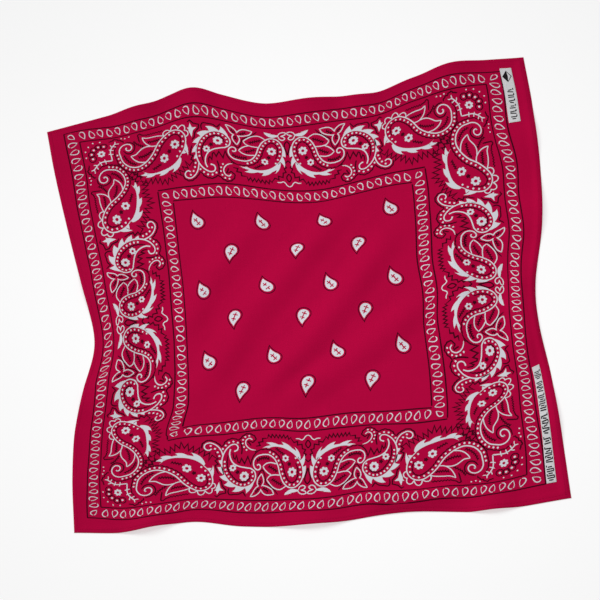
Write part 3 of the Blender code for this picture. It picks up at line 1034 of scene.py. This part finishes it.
# How far the drops of each side are turned to the left (degrees)
Turns = namedtuple("Turns", "far near left right")

DROP_LINE = 1.05          # outline of a drop (mm)
DROP_OPENS = 38.0         # where that outline is open for a moment, in degrees from the bulb
CORNER_DROP = (0.84, 0.95)  # length and width of a corner drop as shares of the others'


def outlined_drop(ink, centre, angle, length, width):
    """One drop: a line that is fine at its tip and full round its bulb, open for a moment there."""
    outline = drop_outline(length, width, steps=22, gap=0.05, start=DROP_OPENS)
    full = 0.75 + 0.2 * (1 - outline[:, 0] / (length / 2)) / 2 + 0.18 * np.sign(outline[:, 1])
    outline = turned(outline, angle, centre)
    ink.ribbon(outline, DROP_LINE / 2 * full)


def drop_row(ink, frame_of, turns, length, width, first):
    """A frame of outlined drops; their tips point in and out by turns.

    first is +1 where the first tip on the near and far sides points outwards.
    """
    half_across, half_along, across_count, along_count, gap_across, gap_along = frame_of
    reach_across = half_across - gap_across
    reach_along = half_along - gap_along
    for side, turn_across, turn_along in ((-1, turns.near, turns.left), (1, turns.far, turns.right)):
        for k, place in enumerate(np.linspace(-reach_across, reach_across, across_count)):
            outwards = side * first * (-1) ** k
            outlined_drop(ink, (place, side * half_along), 90.0 * outwards + turn_across, length, width)
        for k, place in enumerate(np.linspace(-reach_along, reach_along, along_count)):
            inwards = side * first * (-1) ** k
            outlined_drop(ink, (side * half_across, place), 90.0 * (1 + inwards) + turn_along,
                          length, width)
        for end in (-1, 1):
            outlined_drop(ink, (end * half_across, side * half_along),
                          math.degrees(math.atan2(-side, -end)), length * CORNER_DROP[0],
                          width * CORNER_DROP[1])


rows_white = Drawing()
drop_row(rows_white, DropFrame(246.5, 257.0, 46, 48, 13.0, 10.5), Turns(18, -20, 12, -29), 10.8, 6.0, -1)
inner_white = Drawing()
drop_row(inner_white, DropFrame(146.5, 157.0, 27, 29, 12.4, 11.0), Turns(18, -15, -22, 22), 10.4, 6.0, 1)

# Drops in the middle field: solid, with a small bent tail, a fine outline and bare crimson marks.
# Rows that lean one way stand between rows that lean the other way: rows, places and rises in a
# row, angle and the way that the tail bends
FieldRows = namedtuple("FieldRows", "rows places angle bend")
FIELD_ROWS = rows_of(FieldRows, ((116, 21, -69), ((-114, 3), (-38, -1), (35, 0), (110, 2)), 129.0, -1),
                     ((70, -20, -110), ((-77, 0), (0, 0), (72, 2)), 237.0, 1))
MARK_LINE = 1.35
field_white = Drawing()
field_dark = Drawing()
field_marks = Drawing()


def field_drop(centre, angle, bend):
    """A drop about its middle, tip along +x, with its tail bent to one side."""
    def shaped(length, width, tail, steps):
        outline = drop_outline(length, width, steps=steps)
        reach = np.clip(outline[:, 0] / (length / 2), 0, 1)
        outline[:, 1] += bend * tail * reach ** 1.8
        return outline

    def placed(points):
        return turned(points, angle, centre)

    body = shaped(19.5, 12.8, 5.0, 28)
    half = len(body) // 2
    field_white.between(placed(body[:half + 1]), placed(body[half:][::-1]), half)
    field_dark.stroke(placed(shaped(25.5, 16.6, 7.2, 36) + (0.6, 0.0)), 0.95, **WHOLE)

    # A small cross and a sprig of three arms, linked
    sprig_at, cross_at = np.array([-4.6, 0.2]), np.array([1.4, 0.7 * bend])
    arms = [turned(straight((-2.7, 0), (0, 0.4), (2.7, 0)), lean, cross_at) for lean in (10.0, 100.0)]
    arms += [turned(straight((0, 0), (3.0, 0)), lean, sprig_at) for lean in (95.0, 185.0, 275.0)]
    arms.append(straight(sprig_at, cross_at))
    for arm in arms:
        field_marks.stroke(placed(arm), MARK_LINE, **WHOLE)


for leaning in FIELD_ROWS:
    for row in leaning.rows:
        for across, rise in leaning.places:
            field_drop((across, row + rise), leaning.angle, leaning.bend)


# ---------------------------------------------------------------- laying the print on the cloth

# Where the print sits off its even layout, as cloth is never printed quite square: a place on
# the sheet, a radius, and how far right and away the print is moved there (mm)
PRINT_SLIDES = rows_of(
    Slide,
    # Far side
    (-250, 270, 75, -2, 10), (-160, 245, 130, -4, 0), (-65, 190, 65, -1, 3),
    (100, 270, 80, 4, 4), (180, 275, 80, -1, 5),
    # Right side
    (262, 245, 70, -5, 3), (262, 185, 60, -6, -2), (195, 185, 55, 6, 1), (262, 115, 60, -6, 0),
    (185, 40, 90, 2, 3), (250, -25, 75, 5, -4), (200, -80, 65, 3, 4), (262, -75, 55, 0, -8),
    (200, -150, 55, -2, 2), (262, -160, 80, -3, -9),
    # Near side
    (170, -270, 70, 6, -3), (100, -275, 65, -3, -11), (30, -275, 60, 0, -3), (85, -205, 60, 0, 9),
    (-60, -205, 80, 1, 6), (-90, -275, 100, 4, -2), (-175, -275, 75, 0, -6),
    (-265, -265, 60, -4, 1), (-210, -205, 80, -7, -5),
    # Left side
    (-160, -85, 95, 2, -11), (-245, -50, 75, -8, 2), (-250, 20, 75, -9, 8), (-235, 85, 65, -6, 2),
    (-165, 75, 75, 2, -5), (-258, 150, 80, -3, 7),
    # Round the middle field
    (55, 155, 85, 0, -4), (150, 155, 50, 2, 0), (145, 0, 50, 3, -1), (105, -160, 80, -4, -1),
    (0, -150, 65, -1, -5), (-80, -150, 50, -4, 0), (-150, -160, 60, -8, 2),
)

# The left row round the middle field is squeezed towards the near corner besides: along it, then
# right and away (mm)
ROW_SLIP = ((-157, -2, 0), (-124, -3, -5), (-105, -2, -8), (-75, 0, -9), (-40, 2, -13), (-10, 1, -8),
            (10, 1, -4), (40, 1, -2), (90, 0, 0))

# Where that row is, how far to its sides the squeeze reaches and where the row ends (mm)
ROW_AT = -146.5
ROW_REACH = 22.0
ROW_END = 158


def printed(across, along):
    """Where a point of the even pattern is printed on the sheet."""
    stations, right, away = zip(*ROW_SLIP)
    near_row = hump((across - ROW_AT) / ROW_REACH) * (np.abs(along) <= ROW_END)
    right_slip = smooth_line(along, stations, right) * near_row
    away_slip = smooth_line(along, stations, away) * near_row
    return (across + slid(across, along, PRINT_SLIDES, "right") + right_slip,
            along + slid(across, along, PRINT_SLIDES, "away") + away_slip)


# A half side: which end of the cloth it is at, and whether it runs up and down
HalfSide = namedtuple("HalfSide", "right far upright")
HALF_SIDES = [HalfSide(right, far, upright)
              for right in (-1, 1) for far in (-1, 1) for upright in (False, True)]
CORNERS = [side for side in HALF_SIDES if not side.upright]

# The upright sides are longer, so the drawing is stretched there beyond this place (mm)
STRETCH_FROM = 90.0


def on_half_side(side, s, t):
    """The place on the sheet of a point (s, t) of the drawing."""
    if side.upright:
        longer = (HALF_ALONG - STRETCH_FROM) / (HALF_ACROSS - STRETCH_FROM)
        s, t = t, np.where(s > STRETCH_FROM, STRETCH_FROM + (s - STRETCH_FROM) * longer, s)
    return side.right * (HALF_ACROSS - s), side.far * (HALF_ALONG - t)


def flat_mesh(drawing):
    """A drawing as a mesh whose faces all look up."""
    drawing.bm.normal_update()
    under = [face for face in drawing.bm.faces if face.normal.z < 0]
    bmesh.ops.reverse_faces(drawing.bm, faces=under)
    return new_mesh("drawing", drawing.bm)


def points_of(mesh):
    """The points of a mesh (n, 3)."""
    points = np.empty(len(mesh.vertices) * 3, np.float32)
    mesh.vertices.foreach_get("co", points)
    return points.reshape(-1, 3).astype(float)


def lay_ink(name, mat, parts, height, lift_sign=1.0, placed_by_print=True):
    """One piece of ink, laid at a height (mm); each part is a drawing's mesh and its half sides.

    A part without half sides is laid where it is drawn.
    """
    bm = bmesh.new()
    across, along, lift = [], [], []
    for mesh, sides in parts:
        points = points_of(mesh)
        for side in sides or (None,):
            before = len(bm.faces)
            bm.from_mesh(mesh)
            mirrored = side is not None and (side.right * side.far > 0) == side.upright
            if mirrored == (lift_sign > 0):
                bm.faces.ensure_lookup_table()
                bmesh.ops.reverse_faces(bm, faces=bm.faces[before:])
            u, v = points[:, 0], points[:, 1]
            if side is not None:
                u, v = on_half_side(side, u, v)
            across.append(u)
            along.append(v)
            lift.append(points[:, 2])
    across, along = np.concatenate(across), np.concatenate(along)
    if placed_by_print:
        across, along = printed(across, along)
    return laid_piece(name, bm, across, along, height + lift_sign * np.concatenate(lift), mat)


white_parts = [(flat_mesh(white), HALF_SIDES), (flat_mesh(corner_white), CORNERS),
               (flat_mesh(rows_white), None), (flat_mesh(inner_white), None),
               (flat_mesh(field_white), None)]
dark_parts = [(flat_mesh(dark), HALF_SIDES), (flat_mesh(corner_dark), CORNERS),
              (flat_mesh(field_dark), None)]
mark_parts = [(flat_mesh(field_marks), None)]

# Heights of the inks over the cloth's top face, and of the reverse's over the surface (mm)
DARK_LIFT = 0.10
WHITE_LIFT = 0.14
MARK_LIFT = 0.18
DARK_BACK_AT = 0.09
WHITE_BACK_AT = 0.055
inks = [
    lay_ink("print_dark", dark_ink, dark_parts, CLOTH_TOP + DARK_LIFT),
    lay_ink("print_white", white_ink, white_parts, CLOTH_TOP + WHITE_LIFT),
    lay_ink("print_marks", cotton, mark_parts, CLOTH_TOP + MARK_LIFT),
    lay_ink("reverse_dark", dark_back, dark_parts, DARK_BACK_AT, lift_sign=-1.0),
    lay_ink("reverse_white", white_back, white_parts, WHITE_BACK_AT, lift_sign=-1.0),
]


# ---------------------------------------------------------------- stitching and tapes

def repeated(name, shape, mat, places):
    """A small shape set many times: places holds (across, along, run across, run along, height).

    The shape is drawn in mm with x along the run, y across it and z up.
    """
    bm = bmesh.new()
    for _ in places:
        bm.from_mesh(shape)
    flat = points_of(shape)
    across, along, height = [], [], []
    for u, v, run_u, run_v, z in places:
        across.append(u + flat[:, 0] * run_u - flat[:, 1] * run_v)
        along.append(v + flat[:, 0] * run_v + flat[:, 1] * run_u)
        height.append(z + flat[:, 2])
    return laid_piece(name, bm, np.concatenate(across), np.concatenate(along), np.concatenate(height),
                      mat)


def stitch_shape(half_length, half_width, half_height):
    """One visible length of thread: a slim oval whose ends dive into the cloth."""
    bm = bmesh.new()
    bmesh.ops.create_uvsphere(bm, u_segments=6, v_segments=4, radius=1.0)
    bmesh.ops.rotate(bm, verts=bm.verts, matrix=Matrix.Rotation(math.pi / 2, 3, "Y"))
    bmesh.ops.scale(bm, verts=bm.verts, vec=(half_length, half_width, half_height))
    return new_mesh("stitch", bm)


STITCH_INSET = 4.5
STITCH_PITCH = 2.9
STITCH_START = 4.5
STITCH_PROUD = 0.02   # how far the middle of a stitch stands off the cloth or tape (mm)
STITCH_PROUD_UNDER = 0.01


def hem_stitches(height, on_top):
    """A row of stitches along every hem; those on top follow the roll of the right one."""
    places = []
    for side in (-1, 1):
        for half, other, upright in ((HALF_ACROSS, HALF_ALONG, False), (HALF_ALONG, HALF_ACROSS, True)):
            reach = half - STITCH_START
            fixed = side * (other - STITCH_INSET)
            for run in np.linspace(-reach, reach, round(2 * reach / STITCH_PITCH) + 1):
                across, along = (fixed, run) if upright else (run, fixed)
                lift = right_roll(across, along) if on_top else 0.0
                places.append((across, along, 1 - upright, upright, height + lift))
    return places


stitching = [
    repeated("hem_stitches_top", stitch_shape(1.05, 0.24, 0.17), thread,
             hem_stitches(BORDER_TOP + STITCH_PROUD, True)),
    repeated("hem_stitches_under", stitch_shape(1.05, 0.22, 0.12), thread,
             hem_stitches(CLOTH_UNDER - STITCH_PROUD_UNDER, False)),
]

# Woven tapes on the right margin: inner and outer edge, near and far end (mm)
Tape = namedtuple("Tape", "inner outer near far")
UPPER_TAPE = Tape(250.0, 261.0, 196.0, 271.5)
LOWER_TAPE = Tape(255.2, 264.0, -265.0, -122.5)
TAPE_OVER = 0.2    # the tapes lie this far over the cloth, clear of its print (mm)
TAPE_STRIP = Strip(CLOTH_TOP + TAPE_OVER, 0.35, 0.12, tape, "tape")
TAPE_TOP = TAPE_STRIP.under + TAPE_STRIP.thick
TAPE_COLUMNS = 5
TAPE_PITCH = 2.4


def woven_tape(name, node, cut):
    """A thin tape, laid on the margin."""
    wide = np.linspace(cut.inner, cut.outer, TAPE_COLUMNS)
    long = np.linspace(cut.near, cut.far, round((cut.far - cut.near) / TAPE_PITCH) + 1)
    return laid_strip(TAPE_STRIP, name, node, wide, long)


tapes = [woven_tape("woven_tape_upper", "label_upper", UPPER_TAPE),
         woven_tape("woven_tape_lower", "label_lower", LOWER_TAPE)]

# Plain figures woven into the tapes in black: a diamond, and ticks in groups
tape_marks = Drawing()
YARN_PROUD = 0.06
BAR_LINE = 1.45
LINK_LINE = 1.0
SHORT_BAR = 0.62   # every third bar, as a share of the others
BAR_LEAN = 0.5


def tape_figures(cut, start, groups, tick, gap, rest):
    """Short bars across the tape in groups; each group differs in how its bars lean and reach."""
    middle = (cut.inner + cut.outer) / 2
    place = start
    for number, bars in enumerate(groups):
        for bar in range(bars):
            reach = tick * (1.0 if (bar + number) % 3 else SHORT_BAR)
            lean = BAR_LEAN * ((bar % 2) * 2 - 1) * (number % 2)
            tape_marks.stroke(straight((middle - reach, place - lean), (middle, place),
                                       (middle + reach, place + lean)), BAR_LINE, **WHOLE)
            for linked, side in ((bar % 3 == 1, tick), (bar % 4 == 2, -tick)):
                if linked:
                    tape_marks.stroke(straight((middle + side, place), (middle + side, place + gap)),
                                      LINK_LINE, **WHOLE)
            place += gap
        place += rest


# The diamond: half filled, with its other side in outline
middle = (UPPER_TAPE.inner + UPPER_TAPE.outer) / 2
tape_marks.between(straight((middle, 268.0), (middle - 4.6, 259.5), (middle, 251.0)),
                   straight((middle, 268.0), (middle + 0.8, 259.5), (middle, 251.0)), 12)
tape_marks.stroke(straight((middle, 267.0), (middle + 4.0, 259.5), (middle, 252.0)), 0.9)
tape_figures(UPPER_TAPE, 200.5, (2, 2, 2, 2, 2, 2), 2.8, 2.6, 2.2)
tape_figures(LOWER_TAPE, -262.0, (7, 7, 3, 8, 8, 6, 5), 3.2, 2.55, 3.4)
yarn_figures = lay_ink("tape_figures", yarn, [(flat_mesh(tape_marks), None)], TAPE_TOP + YARN_PROUD,
                       placed_by_print=False)

# Rows of white stitches hold the tapes' ends and long edges
END_INSET = 1.3
END_MARGIN = 1.2
END_STITCHES = 5
EDGE_INSET = 0.7
EDGE_PITCH = 2.6
tape_places = []
for cut in (UPPER_TAPE, LOWER_TAPE):
    for along_at in (cut.near + END_INSET, cut.far - END_INSET):
        for across_at in np.linspace(cut.inner + END_MARGIN, cut.outer - END_MARGIN, END_STITCHES):
            tape_places.append((across_at, along_at, 1, 0, TAPE_TOP + STITCH_PROUD))
    for edge_at in (cut.inner + EDGE_INSET, cut.outer - EDGE_INSET):
        for along_at in np.arange(cut.near + 2.5, cut.far - 2.0, EDGE_PITCH):
            tape_places.append((edge_at, along_at, 0, 1, TAPE_TOP + STITCH_PROUD_UNDER))
tape_stitches = repeated("tape_stitches", stitch_shape(0.9, 0.2, 0.13), tape_thread, tape_places)


# ---------------------------------------------------------------- floor, light and camera

# Opal acrylic light table, lit from within so that shadows on it stay faint
TABLE_GLOW = 0.60
TABLE_HALF = 8.0
table_paint, table_shader = finish_of("opal acrylic light table", linear("#AAAAAA"), 0.9)
table_shader.inputs["Emission Color"].default_value = linear("#FFFFFF")
table_shader.inputs["Emission Strength"].default_value = TABLE_GLOW
floor_bm = bmesh.new()
bmesh.ops.create_grid(floor_bm, x_segments=1, y_segments=1, size=TABLE_HALF)
floor_mesh = new_mesh("floor", floor_bm)
floor_mesh.materials.append(table_paint)
floor = in_scene("floor", floor_mesh)

# Even white light from all round
SKY_STRENGTH = 0.28
world = bpy.data.worlds.new("studio")
world.use_nodes = True
world.node_tree.nodes["Background"].inputs["Color"].default_value = (1.0, 1.0, 1.0, 1.0)
world.node_tree.nodes["Background"].inputs["Strength"].default_value = SKY_STRENGTH
bpy.context.scene.world = world

# A broad key light from the far left, above
KEY_FROM = Vector((-0.62, 0.50, 0.66))
KEY_ENERGY = 1.5
KEY_SPREAD = 22
key_light = bpy.data.lights.new("key", "SUN")
key_light.energy = KEY_ENERGY
key_light.angle = math.radians(KEY_SPREAD)
in_scene("key", key_light).rotation_euler = KEY_FROM.to_track_quat("Z", "Y").to_euler()

# A round softbox over the middle of the cloth
SOFTBOX_AT = (0.0, -0.02, 0.7)
SOFTBOX_ENERGY = 2.4
softbox_light = bpy.data.lights.new("softbox", "AREA")
softbox_light.shape = "DISK"
softbox_light.size = 0.4
softbox_light.energy = SOFTBOX_ENERGY
softbox = in_scene("softbox", softbox_light)
softbox.location = SOFTBOX_AT
softbox.visible_camera = False

bpy.context.scene.view_settings.view_transform = "Standard"
bpy.context.scene.view_settings.look = "None"

# The camera stands near, a little to the left, and looks down at the middle of the even sheet
CAMERA_FROM = Vector((-0.1268, -1.4489, 2.6239))
camera_data = bpy.data.cameras.new("camera")
camera_data.sensor_width = 36.0
camera_data.lens = 155.2
camera_data.shift_x = -0.0015
camera_data.shift_y = 0.0027
camera_data.clip_end = 50.0
camera = in_scene("camera", camera_data)
look_at = Vector((-BOX_CENTRE[0], -BOX_CENTRE[1], 0.0)) * MM
camera.location = look_at + CAMERA_FROM
camera.rotation_euler = (camera.location - look_at).to_track_quat("Z", "Y").to_euler()
bpy.context.scene.camera = camera
